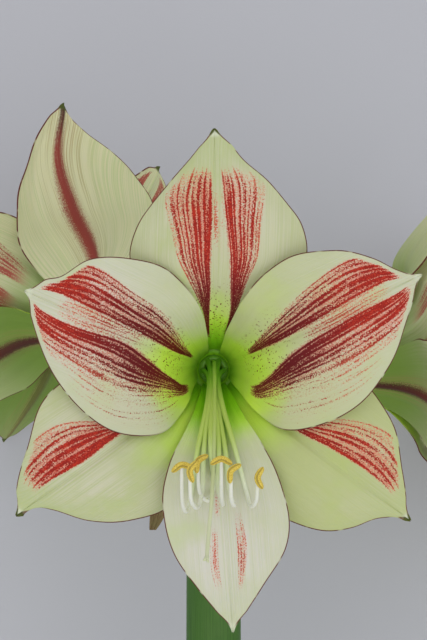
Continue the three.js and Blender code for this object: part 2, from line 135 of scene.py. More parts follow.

# What is different in single tepals: the outline, how far green reaches up the back, the strength of
# the stripe there, and the halo round the throat, which on the front bloom's lower right sepal and upper
# right petal is stronger and wider as painted shade on their side away from the light.
OWN = {
    ("front", "lower_right_sepal"): {"halo_and_shade": {"strength": 1.0, "reach": 160}},
    ("front", "upper_right_petal"): {"halo_and_shade": {"strength": 0.8, "reach": 110}},
    ("left", "top_sepal"): {
        "green": 24, "tip": (-1.2, 100.3), "rib": [(-8, 28), (2.3, 53), (7, 76)],
        "right": [(11, 14), (23, 22), (31.3, 34), (34.8, 47.3), (33.6, 57), (28.1, 71), (16, 88.9),
                  (6.3, 97.3)],
        "left": [(-13, 11), (-28, 16), (-42, 26), (-48.6, 38), (-47.8, 48.5), (-37.7, 63.6),
                 (-23.9, 77), (-10.8, 86.6), (-4, 93.5)],
    },
    ("left", "lower_left_sepal"): {"green": 105},
    ("left", "lower_right_sepal"): {"green": 105},
    ("left", "upper_left_petal"): {
        "green": 24, "tip": (-62.5, 58.5),
        "right": [(-2.6, 15), (-6, 28), (-17, 44), (-31, 53.5), (-44, 58.5), (-54, 60.5)],
        "left": [(-13, -17), (-22, -25.5), (-40.6, -25), (-55, -12), (-64, 5), (-68, 22), (-68, 40),
                 (-65.5, 51)],
    },
    ("left", "bottom_petal"): {"green": 200, "stripe": 0.5},
    ("right", "top_sepal"): {
        "left": [(-11, 17), (-22, 28), (-34, 37), (-39, 48), (-37, 61), (-29, 71), (-19, 81), (-7, 94)],
        "margin": -1, "stripe": 0.0, "green": 80,
    },
    ("right", "lower_left_sepal"): {"green": 66},
    ("right", "lower_right_sepal"): {"green": 70},
    ("right", "bottom_petal"): {"green": 120},
}

# Curves and coordinates


def polar(radius, degrees):
    angle = math.radians(degrees)
    return radius * math.cos(angle), radius * math.sin(angle)


def smoothstep(value, low, high):
    t = np.clip((np.asarray(value, float) - low) / (high - low), 0, 1)
    return t * t * (3 - 2 * t)


def fade(value, near, far):
    return 1 - smoothstep(value, near, far)


def spline(points, count):
    """A centripetal Catmull-Rom curve through the points, in count steps."""
    points = np.array(points, float)
    padded = np.vstack([2 * points[0] - points[1], points, 2 * points[-1] - points[-2]])
    spans = len(points) - 1
    curve = []
    for step in np.linspace(0, spans, count + 1):
        span = min(int(step), spans - 1)
        t = step - span
        a, b, c, d = padded[span:span + 4]
        before, here, after = (max(math.dist(p, q) ** 0.5, 1e-6) for p, q in ((a, b), (b, c), (c, d)))
        start = ((b - a) / before - (c - a) / (before + here) + (c - b) / here) * here
        end = ((c - b) / here - (d - b) / (here + after) + (d - c) / after) * here
        curve.append(
            (2 * t**3 - 3 * t**2 + 1) * b + (t**3 - 2 * t**2 + t) * start
            + (3 * t**2 - 2 * t**3) * c + (t**3 - t**2) * end
        )
    return np.array(curve)


def even_steps(curve, rows):
    """The same curve cut into equal lengths."""
    lengths = np.concatenate([[0], np.cumsum(np.linalg.norm(np.diff(curve, axis=0), axis=1))])
    targets = np.linspace(0, lengths[-1], rows + 1)
    return np.stack([np.interp(targets, lengths, curve[:, k]) for k in range(curve.shape[1])], axis=1)


def bloom_axes(bloom):
    """The bloom's right, top and facing directions in the plant."""
    a, r, t = (math.radians(bloom[key]) for key in ("around", "rise", "turn"))
    facing = Vector((-math.sin(a) * math.cos(r), -math.cos(a) * math.cos(r), math.sin(r)))
    level = Vector((math.cos(a), -math.sin(a), 0))
    up = facing.cross(level)
    return level * math.cos(t) - up * math.sin(t), up * math.cos(t) + level * math.sin(t), facing


def in_plant(points, bloom):
    axes = np.array([list(axis) for axis in bloom_axes(bloom)])
    return points @ axes + np.array(bloom["throat"])


def plant_matrix():
    """From the plant's own coordinates to the frame's, still in millimetres."""
    tilt = Matrix.Rotation(math.radians(STANCE["tilt"] - 90), 4, "X")
    roll = Matrix.Rotation(math.radians(STANCE["roll"]), 4, "Y")
    return Matrix.Translation(STANCE["shift"]) @ roll @ tilt


# Tepals


def funnel_depth(radius, bloom):
    flare = FUNNEL["depth"] * (1 - np.exp((FUNNEL["seat"] - radius) / FUNNEL["throat"]))
    limb = np.maximum(0, radius - FUNNEL["limb_start"])
    return flare + bloom["close"] * limb**2 / (limb + FUNNEL["limb_bend"]) - bloom["recurve"] * limb**2


def whorl_depth(radius, bloom, whorl):
    if whorl == "outer":
        return funnel_depth(radius, bloom)
    rise = INNER_WHORL["lift"] * smoothstep(radius, INNER_WHORL["seat"], INNER_WHORL["lift_end"])
    return funnel_depth(radius + FUNNEL["seat"] - INNER_WHORL["seat"], bloom) + rise


def relief(shape, along, across):
    """How far a tepal stands in front of the plain funnel, as in the solids."""
    body = np.sin(np.pi * along**0.8)
    lobes = shape["arch"] * np.sin(np.pi * np.abs(across)) * body
    sides = shape["margin"] * across**2 * body
    turns = 2.2 * along + shape["phase"] + 0.3 * np.sign(across)
    waves = shape["ripple"] * across**4 * body * np.sin(2 * np.pi * turns)
    return shape["lift"] * along**3 + lobes + sides + waves


def tepal_grid(shape, bloom):
    """The middle surface of a tepal in its bloom: points by row (along) and column (across)."""
    rows, columns, size = bloom["rows"], bloom["columns"], bloom["size"]
    seat = FUNNEL["seat"] if shape["whorl"] == "outer" else INNER_WHORL["seat"]
    tip = np.array(shape["tip"]) * size
    point = tip / np.linalg.norm(tip)
    sideways = np.array([point[1], -point[0]]) * TIP["half_width"]
    start, end = shape["foot"]

    def laid(points):
        flat = spline(points, 120)
        depth = whorl_depth(np.linalg.norm(flat, axis=1), bloom, shape["whorl"])
        return even_steps(np.column_stack([flat, depth]), rows)

    def grown(side):
        return [np.array(p) * size for p in shape[side]]

    right = laid([polar(seat, start), *grown("right"), tip + sideways])
    left = laid([polar(seat, end), *grown("left"), tip - sideways])
    rib = grown("rib") if "rib" in shape else [tip / 2]
    middle = laid([polar(seat, (start + end) / 2), *rib, tip])
    along = np.linspace(0, 1, rows + 1)[:, None]
    across = np.linspace(-1, 1, columns + 1)[None, :]
    reach = across[..., None]
    grid = middle[:, None] + (right - left)[:, None] * reach / 2
    grid = grid + ((right + left) / 2 - middle)[:, None] * reach**2
    radius = np.hypot(grid[..., 0], grid[..., 1])
    grid[..., 2] = whorl_depth(radius, bloom, shape["whorl"]) + relief(shape, along, across)
    return grid, along, across


# Meshes


def placed(name, data):
    """A new object in the scene, made from a mesh, a camera or a lamp."""
    item = bpy.data.objects.new(name, data)
    bpy.context.scene.collection.objects.link(item)
    return item


def finished(name, points, faces, material, node_names, slot, **fields):
    """A smooth piece from points in the plant's millimetres. Each field has one value for each point."""
    mesh = bpy.data.meshes.new(name)
    matrix = np.array(plant_matrix())
    in_frame = (np.asarray(points) @ matrix[:3, :3].T + matrix[:3, 3]) * MM
    mesh.from_pydata(in_frame.tolist(), [], [list(map(int, face)) for face in faces])
    mesh.polygons.foreach_set("use_smooth", [True] * len(mesh.polygons))
    mesh.materials.append(material)
    for label, values in fields.items():
        attribute = mesh.attributes.new(label, "FLOAT", "POINT")
        attribute.data.foreach_set("value", np.asarray(values, float).ravel())
    mesh.update()
    piece = placed(name, mesh)
    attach(piece, "root")
    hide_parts(*node_names)


def grid_faces(rows, columns, closed=False, flip=False):
    """Quads between neighbouring rows and columns of a grid of points numbered row by row."""
    i, j = np.meshgrid(np.arange(rows - 1), np.arange(columns if closed else columns - 1), indexing="ij")
    here, beside = i * columns + j, i * columns + (j + 1) % columns
    quads = np.stack([here, beside, beside + columns, here + columns], -1).reshape(-1, 4)
    return quads[:, ::-1] if flip else quads


def rim_faces(rows, columns):
    """Quads that close the margin between a front grid and the back grid numbered after it."""
    count = rows * columns
    index = np.arange(count).reshape(rows, columns)
    loop = [*index[0], *index[1:, -1], *index[-1, -2::-1], *index[-2:0:-1, 0]]
    return [[a, a + count, b + count, b] for a, b in zip(loop, loop[1:] + loop[:1])]


def sheet(middle, half):
    """Points and faces of a thin closed solid on both sides of a middle surface."""
    rows, columns = middle.shape[:2]
    points = np.vstack([(middle + half).reshape(-1, 3), (middle - half).reshape(-1, 3)])
    faces = [*grid_faces(rows, columns), *(grid_faces(rows, columns, flip=True) + rows * columns)]
    return points, faces + rim_faces(rows, columns)


def surface_normals(grid):
    along = np.gradient(grid, axis=0)
    across = np.gradient(grid, axis=1)
    normals = np.cross(across, along)
    return normals / np.linalg.norm(normals, axis=-1, keepdims=True)


# Tepals: the finished pieces


def fine_relief(along, across, seed):
    """The low forms of a tepal that the solids leave out."""
    body = np.sin(np.pi * np.clip(along, 0, 1) ** 0.8)
    midrib = -MIDRIB["depth"] * np.exp(-((across / MIDRIB["half_width"]) ** 2))
    midrib = midrib * smoothstep(along, 0.1, 0.4) * (1 - 0.5 * along)
    folds = FOLDS["height"] * np.cos(2 * np.pi * (FOLDS["count"] * across + seed))
    folds = folds * body * (1 - across**2)
    turns = FRILL["count"] * along + 2.3 * seed + 0.5 * np.sign(across)
    frill = FRILL["height"] * across**6 * body * np.sin(2 * np.pi * turns)
    veins = VEINS["height"] * np.cos(2 * np.pi * VEINS["count"] * across) * body
    return midrib + folds + frill + veins


def pointed(grid, along):
    """The same surface with its last rows drawn in to a finer point."""
    middle = grid[:, grid.shape[1] // 2][:, None]
    drawn_in = TIP["drawn_in"] * smoothstep(along, TIP["drawn_from"], 1)
    return middle + (grid - middle) * (1 - drawn_in)[..., None]


def tip_hood(along, across):
    """The small thick point at the very tip, which curls over."""
    return TIP["curl"] * smoothstep(along, TIP["curled_from"], 1) * (0.4 + across**2)


def eased(along, place, values):
    """Straight steps between stations, rounded off where they meet."""
    return sum(np.interp(along + shift, place, values) for shift in (-0.05, -0.025, 0, 0.025, 0.05)) / 5


def band_fields(stations, along, across):
    """How strongly one band of lines shows at each point, and the point's place across the band."""
    place, inner, outer, strong, weak = np.array(stations, float).T
    near, far = eased(along, place, inner), eased(along, place, outer)
    share = (across - near) / (far - near)
    softness = 0.12 + 0.1 * fade(along, place[0], place[0] + 0.25)
    crisp = softness * 0.4
    sides = smoothstep(share, -softness, crisp) * fade(share, 1 - crisp, 1 + softness)
    ends = smoothstep(along, place[0] - 0.05, place[0] + 0.02)
    ends = ends * fade(along, place[-1] - 0.03, place[-1] + 0.04)
    level = eased(along, place, strong) * (1 - share) + eased(along, place, weak) * share
    return np.clip(level, 0, 1.3) * sides * ends, share


def streak_fields(bands, along, across):
    """How strongly the red marking shows at each point, and the point's place among its lines."""
    shown = np.zeros(np.broadcast(along, across).shape)
    line = np.zeros_like(shown)
    for number, (lines, stations) in enumerate(bands):
        level, share = band_fields(stations, along, across)
        line = np.where(level > shown, share * lines + BAND_STEP * number, line)
        shown = np.maximum(shown, level)
    return shown, line


def margin_distance(grid):
    """Distance of each point from the nearer side margin, measured along its row."""
    steps = np.linalg.norm(np.diff(grid, axis=1), axis=2)
    walked = np.concatenate([np.zeros((len(grid), 1)), np.cumsum(steps, axis=1)], axis=1)
    return np.minimum(walked, walked[:, -1:] - walked)


def vein_coordinate(grid, across):
    """Veins fan out to the widest row and run side by side past it."""
    width = np.linalg.norm(grid[:, 0] - grid[:, -1], axis=1)
    widest = int(np.argmax(width))
    share = np.where(np.arange(len(width)) > widest, width / width[widest], 1.0)
    return across * share[:, None]


def tepal_fields(tepal_name, shape, bloom, grid, along, across):
    """The values at each point that place it on the tepal and colour it."""
    outer = shape["whorl"] == "outer"
    reach = np.hypot(grid[..., 0], grid[..., 1]) / bloom["size"]
    height = grid[..., 1] / bloom["size"]
    edge = margin_distance(grid)
    streak, line = streak_fields(STREAKS[tepal_name], along, across)
    # The lime and deep fields also place the painted glow of those greens.
    lime = fade(reach, shape["lime"] * 0.35, shape["lime"])
    if tepal_name.startswith("upper"):
        lime = lime * (1 - 0.75 * smoothstep(height, *PALE_HEIGHT))
    halo_and_shade = shape.get("halo_and_shade", PLAIN_HALO)
    green_end = shape.get("green", GREEN_REACH)
    freckled = tepal_name.startswith(("top", "upper"))
    fields = {
        "along": along, "across": across, "vein": vein_coordinate(grid, across),
        "edge": edge, "reach": reach, "line": line, "streak": streak * smoothstep(edge, *CLEAN_MARGIN),
        "tone": smoothstep(reach, *TONE_REACH[shape["whorl"]]),
        "lime": lime, "deep": fade(reach, *shape["deep"]),
        # The halo is the tepal's own greener zone, and on two front tepals also painted shade.
        "halo_and_shade": halo_and_shade["strength"] * fade(reach, HALO_START, halo_and_shade["reach"]),
        "green": fade(reach, green_end * 0.3, green_end),
        "freckled": float(freckled), "stripe": shape.get("stripe", float(outer)),
    }
    return {name: np.broadcast_to(values, reach.shape) for name, values in fields.items()}


def build_tepal(bloom_name, tepal_name, material):
    bloom = BLOOMS[bloom_name]
    shape = {**TEPALS[tepal_name], **OWN.get((bloom_name, tepal_name), {})}
    grid, along, across = tepal_grid(shape, bloom)
    grid = pointed(grid, along)
    seed = shape["phase"] + 0.37 * bloom["around"]
    normals = surface_normals(grid)
    middle = grid + normals * (fine_relief(along, across, seed) + tip_hood(along, across))[..., None]
    thickness = BLADE["middle"] + (BLADE["edge"] - BLADE["middle"]) * np.abs(across) ** 1.5
    points, faces = sheet(middle, normals * (thickness / 2 * np.ones_like(along))[..., None])
    slot = "sepal" if shape["whorl"] == "outer" else "petal"
    node = f"{bloom_name}_{tepal_name}"
    fields = tepal_fields(tepal_name, shape, bloom, grid, along, across)
    fields = {name: np.stack([values, values]) for name, values in fields.items()}
    fields["back"] = np.repeat([0.0, 1.0], len(points) // 2)
    finished(f"{node}_blade", in_plant(points, bloom), faces, material, [node], slot, **fields)


# Markings, as bands of red lines on each tepal's face: the number of lines, then the stations from the
# throat outwards: place along the tepal, the band's inner and outer limit across, and the strength at
# each limit.
STREAKS = {
    "top_sepal": [
        (8, [(0.2, -0.2, -0.32, 1.2, 1), (0.33, -0.13, -0.22, 1.2, 1), (0.42, -0.07, -0.28, 1.2, 0.65),
             (0.5, -0.06, -0.34, 1, 0.45), (0.65, -0.05, -0.5, 0.95, 0.42),
             (0.74, -0.06, -0.8, 0.95, 0.4), (0.81, -0.09, -1.02, 0.8, 0.3),
             (0.85, -0.12, -1.1, 0.45, 0.05)]),
        (8, [(0.2, 0.5, 0.64, 1.2, 1), (0.35, 0.4, 0.52, 1.2, 1), (0.44, 0.25, 0.43, 1.15, 0.65),
             (0.53, 0.19, 0.46, 1, 0.45), (0.6, 0.18, 0.49, 0.9, 0.42), (0.7, 0.165, 0.6, 0.85, 0.4),
             (0.8, 0.19, 0.98, 0.75, 0.3), (0.85, 0.22, 1.1, 0.4, 0.05)]),
        (2, [(0.55, -0.06, 0.18, 0.1, 0.1), (0.66, -0.05, 0.17, 0.24, 0.24),
             (0.8, -0.09, 0.19, 0.2, 0.2)]),
    ],
    "lower_left_sepal": [
        (6, [(0.42, 0, 0.1, 1.1, 0.8), (0.55, 0.08, 0.22, 1.15, 0.65), (0.6, 0.08, 0.42, 1.15, 0.4),
             (0.66, 0.07, 0.6, 1.1, 0.36), (0.75, 0.125, 0.84, 1.1, 0.34), (0.82, 0.22, 1.02, 1, 0.3),
             (0.88, 0.34, 1.2, 0.6, 0.2)]),
    ],
    "lower_right_sepal": [
        (6, [(0.42, -0.02, -0.1, 1, 0.8), (0.5, -0.04, -0.24, 1, 0.5), (0.6, -0.12, -0.5, 0.8, 0.34),
             (0.7, -0.2, -0.78, 0.8, 0.33), (0.8, -0.3, -1.05, 0.8, 0.33),
             (0.88, -0.42, -1.3, 0.6, 0.3)]),
    ],
    "upper_left_petal": [
        (6, [(0.15, 0.12, 0.22, 1.1, 0.9), (0.31, 0.06, 0.36, 1.25, 0.36), (0.42, 0.07, 0.44, 1.1, 0.34),
             (0.52, 0.09, 0.47, 0.9, 0.42), (0.6, 0.11, 0.5, 0.75, 0.45), (0.7, 0.16, 0.67, 0.8, 0.5),
             (0.78, 0.2, 0.88, 0.95, 0.6), (0.86, 0.34, 1.06, 1.15, 0.75), (0.93, 0.52, 1.35, 1, 0.7)]),
        (8, [(0.2, -0.74, -0.88, 1.2, 0.9), (0.34, -0.38, -0.66, 1.25, 0.3),
             (0.42, -0.24, -0.62, 1.25, 0.16), (0.5, -0.16, -0.66, 1.1, 0.16),
             (0.56, -0.1, -0.7, 0.95, 0.18), (0.66, -0.12, -0.72, 0.85, 0.2),
             (0.74, -0.2, -0.76, 1, 0.24), (0.83, -0.28, -0.95, 1.15, 0.26),
             (0.95, -0.55, -1.4, 1, 0.5)]),
        (6, [(0.3, -0.7, -1, 0.2, 0.1), (0.42, -0.62, -1, 0.3, 0.16), (0.6, -0.72, -1, 0.22, 0.08),
             (0.74, -0.8, -1, 0.08, 0.04)]),
        (5, [(0.52, -0.06, 0.09, 0.36, 0.36), (0.68, -0.1, 0.14, 0.4, 0.4),
             (0.86, -0.22, 0.28, 0.3, 0.3)]),
    ],
    "upper_right_petal": [
        (6, [(0.28, -0.03, -0.14, 1.2, 0.9), (0.41, -0.02, -0.26, 1.2, 0.36),
             (0.5, -0.02, -0.34, 1, 0.34), (0.57, -0.04, -0.42, 0.85, 0.42),
             (0.63, -0.06, -0.5, 0.75, 0.45), (0.7, -0.1, -0.62, 0.8, 0.5),
             (0.78, -0.17, -0.84, 0.95, 0.6), (0.86, -0.28, -1.02, 1.1, 0.75),
             (0.92, -0.42, -1.25, 0.85, 0.7)]),
        (8, [(0.28, 0.69, 0.84, 1.2, 0.9), (0.39, 0.35, 0.62, 1.25, 0.3), (0.45, 0.25, 0.6, 1.25, 0.18),
             (0.52, 0.17, 0.62, 1.1, 0.18), (0.59, 0.145, 0.64, 1, 0.2), (0.67, 0.14, 0.68, 0.9, 0.24),
             (0.75, 0.135, 0.76, 1, 0.3), (0.83, 0.17, 0.92, 1.15, 0.3), (0.93, 0.32, 1.25, 1, 0.5)]),
        (6, [(0.34, 0.68, 1, 0.2, 0.1), (0.46, 0.6, 1, 0.3, 0.16), (0.64, 0.7, 1, 0.22, 0.08),
             (0.76, 0.84, 1, 0.08, 0.04)]),
        (5, [(0.56, -0.06, 0.12, 0.36, 0.36), (0.7, -0.1, 0.14, 0.4, 0.4),
             (0.87, -0.26, 0.14, 0.3, 0.3)]),
    ],
    "bottom_petal": [
        (3, [(0.62, -0.16, -0.24, 0.12, 0.1), (0.7, -0.2, -0.34, 0.4, 0.35),
             (0.76, -0.22, -0.38, 0.62, 0.5), (0.81, -0.26, -0.42, 0.55, 0.45),
             (0.86, -0.3, -0.46, 0.15, 0.1)]),
        (3, [(0.68, 0.12, 0.24, 0.2, 0.15), (0.75, 0.18, 0.34, 0.42, 0.36),
             (0.81, 0.23, 0.42, 0.42, 0.34), (0.86, 0.28, 0.46, 0.12, 0.1)]),
        (1, [(0.56, 0.05, 0.13, 0.34, 0.3), (0.62, 0.08, 0.15, 0.34, 0.3)]),
    ],
}

# Distances from the throat's middle between which the lines turn from maroon to bright red.
TONE_REACH = {"outer": (24, 56), "inner": (28, 74)}

# How far apart the patterns of two bands of one tepal are, in lines.
BAND_STEP = 40

# Distances from the side margin between which the markings begin.
CLEAN_MARGIN = (1.4, 3.6)

# Heights over the throat between which the lime green of the upper petals turns pale.
PALE_HEIGHT = (6, 20)

# Where the paler halo round the lime green starts, and what it is like on most tepals, as their own
# colour.
HALO_START = 20
PLAIN_HALO = {"strength": 0.5, "reach": 75}

# How far the green reaches up the backs of most tepals.
GREEN_REACH = 46

# Materials


class Graph:
    """A material, and short calls that add nodes to it. A field of the mesh is given by its name."""

    def __init__(self, name, roughness=0.5, specular=0.5, tissue=None):
        self.material = bpy.data.materials.new(name)
        self.material.use_nodes = True
        self.tree = self.material.node_tree
        self.shader = self.tree.nodes["Principled BSDF"]
        self.shader.inputs["Roughness"].default_value = roughness
        self.shader.inputs["Specular IOR Level"].default_value = specular
        for key, value in (tissue or {}).items():
            self.shader.inputs[f"Subsurface {key}"].default_value = value

    def put(self, socket, value):
        if isinstance(value, str):
            value = self.add("ShaderNodeAttribute", attribute_name=value).outputs["Fac"]
        if isinstance(value, bpy.types.NodeSocket):
            self.tree.links.new(value, socket)
        elif isinstance(value, tuple) and len(value) == 3 and socket.type == "RGBA":
            socket.default_value = (*value, 1)
        else:
            socket.default_value = value

    def add(self, kind, *values, **settings):
        node = self.tree.nodes.new(kind)
        for key, value in settings.items():
            setattr(node, key, value)
        for socket, value in zip(node.inputs, values):
            self.put(socket, value)
        return node

    def add_named(self, kind, **values):
        node = self.add(kind)
        for name, value in values.items():
            self.put(node.inputs[name], value)
        return node

    def math(self, operation, *values):
        return self.add("ShaderNodeMath", *values, operation=operation).outputs[0]

    def times(self, first, second):
        return self.math("MULTIPLY", first, second)

    def plus(self, first, second):
        return self.math("ADD", first, second)

    def scaled(self, value, factor, offset):
        return self.math("MULTIPLY_ADD", value, factor, offset)

    def about_zero(self, noise):
        return self.math("SUBTRACT", noise, 0.5)

    def step(self, value, low, high, full=1.0):
        """A smooth rise from 0 where the value is low to full where it is high."""
        node = self.add("ShaderNodeMapRange", value, low, high, 0.0, full)
        node.interpolation_type = "SMOOTHSTEP"
        return node.outputs[0]

    def mix(self, amount, first, second):
        node = self.add("ShaderNodeMix", data_type="RGBA")
        for socket, value in ((0, amount), (6, first), (7, second)):
            self.put(node.inputs[socket], value)
        return node.outputs[2]

    def layers(self, colour, *layers):
        """Colours laid over the first one, each with the amount of its cover."""
        for amount, layer in layers:
            colour = self.mix(amount, colour, layer)
        return colour

    def noise(self, scale, detail=2.0, roughness=0.5, vector=None):
        vector = vector or self.add("ShaderNodeTexCoord").outputs["Object"]
        values = {"Vector": vector, "Scale": scale, "Detail": detail, "Roughness": roughness}
        return self.add_named("ShaderNodeTexNoise", **values).outputs["Fac"]

    def streaky(self, across, along, level, detail=2.0, roughness=0.5):
        """Noise drawn out along a piece. across and along are each a field and its scale."""
        plane = [self.times(field, scale) for field, scale in (across, along)]
        vector = self.add("ShaderNodeCombineXYZ", *plane, level).outputs[0]
        return self.noise(1.0, detail, roughness, vector)

    def bump(self, height, distance, strength):
        node = self.add_named("ShaderNodeBump", Strength=strength, Distance=distance, Height=height)
        self.put(self.shader.inputs["Normal"], node.outputs[0])

    def finish(self, colour, roughness=None):
        self.put(self.shader.inputs["Base Color"], colour)
        if roughness is not None:
            self.put(self.shader.inputs["Roughness"], roughness)
        return self.material


# Colours of the tepals: the face, its markings, and the back
CREAM = {"outer": (0.62, 0.62, 0.45), "inner": (0.67, 0.66, 0.57)}
CREAM_SHADE = {"outer": (0.5, 0.55, 0.29), "inner": (0.58, 0.61, 0.42)}
TIP_GREEN = (0.46, 0.54, 0.24)
TIP_SHARE = {"outer": 0.55, "inner": 0.2}
# The halo's green: the tepals' own colour round the throat, and painted shade where a tepal's halo is
# made stronger.
HALO_AND_SHADE = (0.48, 0.54, 0.22)
# The throat's greens, brighter than the tissue: a painted glow for light through the thin tepals into the
# shaded throat.
LIME_AND_GLOW = (0.56, 0.82, 0.07)
DEEP_GREEN_AND_GLOW = (0.29, 0.66, 0.012)
MAROON = (0.13, 0.006, 0.008)
CRIMSON = (0.26, 0.01, 0.008)
CORAL = (0.58, 0.11, 0.055)
ROSE = (0.46, 0.11, 0.08)
BRIGHT_RED = (0.54, 0.034, 0.014)
SALMON = (0.7, 0.2, 0.13)
VEIL = (0.72, 0.52, 0.46)
MARGIN = (0.12, 0.025, 0.02)
NIB = (0.66, 0.7, 0.52)
BACK_NIB = (0.075, 0.1, 0.02)
BACK_STREAK = (0.45, 0.2, 0.13)
BACK_GREEN = (0.19, 0.31, 0.05)
BACK_PALE = (0.72, 0.71, 0.45)
BACK_SHADE = (0.6, 0.66, 0.35)
BACK_STRIPE = (0.085, 0.028, 0.018)
BACK_BAND = (0.3, 0.055, 0.04)

# How much light goes through thin tissue, how far by colour, and in what unit
PETAL_TISSUE = {"Weight": 0.2, "Radius": (1.0, 0.8, 0.4), "Scale": 0.002}
TUBE_TISSUE = {"Weight": 0.1, "Radius": (0.6, 1.0, 0.3), "Scale": 0.002}
STAMEN_TISSUE = {"Weight": 0.2, "Radius": (1.0, 1.0, 0.6), "Scale": 0.001}

# The filaments and the style: colours of the foot, middle, end and clouds, the stretches in which one
# turns into the next, and the clouds' scale and strength
THREADS = {
    "filament": {
        "colours": [(0.2, 0.5, 0.01), (0.5, 0.66, 0.12), (0.84, 0.85, 0.76), (0.5, 0.58, 0.24)],
        "turns": [(0.03, 0.4), (0.5, 0.84)], "clouds": (600, 0.25),
    },
    "style": {
        "colours": [(0.2, 0.46, 0.01), (0.42, 0.58, 0.1), (0.62, 0.68, 0.42), (0.6, 0.5, 0.36)],
        "turns": [(0.1, 0.5), (0.5, 0.9)], "clouds": (500, 0.2),
    },
}


def marking(g):
    """The red lines of a tepal's face: how far a thin and a full colour cover it, and both colours."""
    grain = g.about_zero(g.noise(1700, 2.0, 0.65))
    wander = g.about_zero(g.streaky(("line", 0.7), ("along", 1.4), 2.0, 1.0))
    phase = g.scaled(wander, 9.0, g.times("line", 2 * math.pi))
    blotch = g.about_zero(g.streaky(("line", 1.1), ("along", 5), 7.0, 3.0))

    # the full colour keeps to the lines, and the thin one spreads between them in grains
    level = g.scaled(g.math("COSINE", phase), 0.26, "streak")
    level = g.scaled(g.math("COSINE", g.scaled(phase, 1.62, 1.0)), 0.14, level)
    level = g.scaled(blotch, 1.7, level)
    core = g.times(g.step(g.scaled(grain, 1.7, level), 0.5, 0.82), g.step("streak", 0.04, 0.2))
    soft = g.scaled(g.math("COSINE", phase), 0.1, g.plus(blotch, "streak"))
    haze = g.times(g.step(g.scaled(grain, 2.4, soft), 0.22, 0.6), g.step("streak", 0.08, 0.4))

    # maroon near the throat, then crimson and bright red, with dark brush strokes, coral where it is weak
    red = g.layers(MAROON, (g.step("tone", 0.0, 0.6), CRIMSON), (g.step("tone", 0.4, 1.0), BRIGHT_RED))
    brush = g.scaled(grain, 1.1, g.streaky(("line", 5), ("along", 26), 3.0, 3.0, 0.7))
    red = g.mix(g.step(brush, 0.36, 0.6, 0.85), red, g.mix("tone", MAROON, CRIMSON))
    weak = g.mix(g.step("tone", 0.1, 0.7), CRIMSON, CORAL)
    return haze, core, g.mix("tone", ROSE, SALMON), g.mix(g.step("streak", 0.3, 0.5), weak, red)


def ground_colour(g, whorl, fine, cloud):
    """Cream with greener veins and patches, lime green towards the throat and deep green in it, both made
    brighter as a painted glow.
    """
    return g.layers(
        CREAM[whorl],
        (g.step(fine, 0.32, 0.8), CREAM_SHADE[whorl]),
        (g.step(cloud, 0.45, 0.72), CREAM_SHADE[whorl]),
        (g.step(g.math("ABSOLUTE", "across"), 0.6, 1.0, 0.5), CREAM_SHADE[whorl]),
        (g.step("along", 0.76, 0.96, TIP_SHARE[whorl]), TIP_GREEN),
        # the halo, partly painted shade on two front tepals
        ("halo_and_shade", HALO_AND_SHADE),
        # lime and deep green, brightened as a painted glow in the shaded throat
        (g.step(g.plus(g.about_zero(cloud), "lime"), 0.0, 1.0), LIME_AND_GLOW),
        ("deep", DEEP_GREEN_AND_GLOW),
    )


def face_colour(g, ground, haze, core, thin, red):
    """The ground with the markings on it, and dark specks on the green near the throat."""
    veil = g.times("streak", g.step("reach", 20.0, 45.0, 0.42))
    specks = g.times(g.step(g.noise(1000, 1.0), 0.63, 0.68), g.step("reach", 12.0, 18.0))
    middle = g.times(g.step("reach", 42.0, 26.0), g.step(g.math("ABSOLUTE", "across"), 0.6, 0.3))
    specks = g.times(g.times(specks, "freckled"), middle)
    return g.layers(ground, (veil, VEIL), (g.times(haze, 0.78), thin), (core, red), (specks, MAROON))


def back_colour(g, fine, grain):
    """Green at the foot, pale further out, with the midrib's dark stripe and thin streaks beside it."""
    away = g.scaled(g.about_zero(fine), 0.12, g.math("ABSOLUTE", "vein"))
    width = g.scaled(g.step("along", 0.95, 0.45), 0.13, 0.05)
    ragged = g.plus(g.math("DIVIDE", away, width), g.times(g.about_zero(grain), 1.2))
    streaks = g.times(g.step(fine, 0.46, 0.64), g.step(away, 0.5, 0.1, 0.5))
    dark = g.math("MAXIMUM", "green", g.step("along", 0.8, 0.97))
    return g.layers(
        BACK_PALE,
        (g.step(fine, 0.4, 0.65), BACK_SHADE),
        ("green", BACK_GREEN),
        (g.times(streaks, "stripe"), BACK_STREAK),
        (g.times(g.step(ragged, 1.1, 0.25), "stripe"), g.mix(dark, BACK_BAND, BACK_STRIPE)),
    )


def edged(g, colour, whorl):
    """The colour with the small pale or green point of the tip and the thin dark margin."""
    tip = g.step("along", 0.965, 0.98)
    colour = g.mix(tip, colour, g.mix("back", NIB, BACK_NIB))
    if whorl == "outer":
        colour = g.mix(g.times(tip, g.step("edge", 0.8, 0.35)), colour, BACK_NIB)
    rim = g.times(g.step("edge", 0.6, 0.25), g.step(g.noise(160, 1.0), 0.3, 0.42))
    shown = g.times(g.step("reach", 30.0, 42.0), g.step("along", 0.985, 0.965))
    return g.mix(g.times(rim, shown), colour, MARGIN)


def tepal_material(name, whorl):
    g = Graph(name, specular=0.18, tissue=PETAL_TISSUE)
    fine = g.streaky(("vein", 60), ("along", 2.0), 4.0)
    grain = g.noise(1900, 2.0, 0.6)
    cloud = g.noise(45, 3.0)
    haze, core, thin, red = marking(g)
    face = face_colour(g, ground_colour(g, whorl, fine, cloud), haze, core, thin, red)
    back = back_colour(g, fine, grain)
    if whorl == "inner":
        through = g.math("MAXIMUM", g.times(haze, 0.5), core)
        back = g.mix(g.times(through, g.step("green", 0.6, 0.1)), back, ROSE)
    g.bump(g.plus(g.times(fine, 0.7), g.times(grain, 0.3)), 0.00025, 0.6)
    return g.finish(edged(g, g.mix("back", face, back), whorl), g.scaled(cloud, 0.2, 0.48))


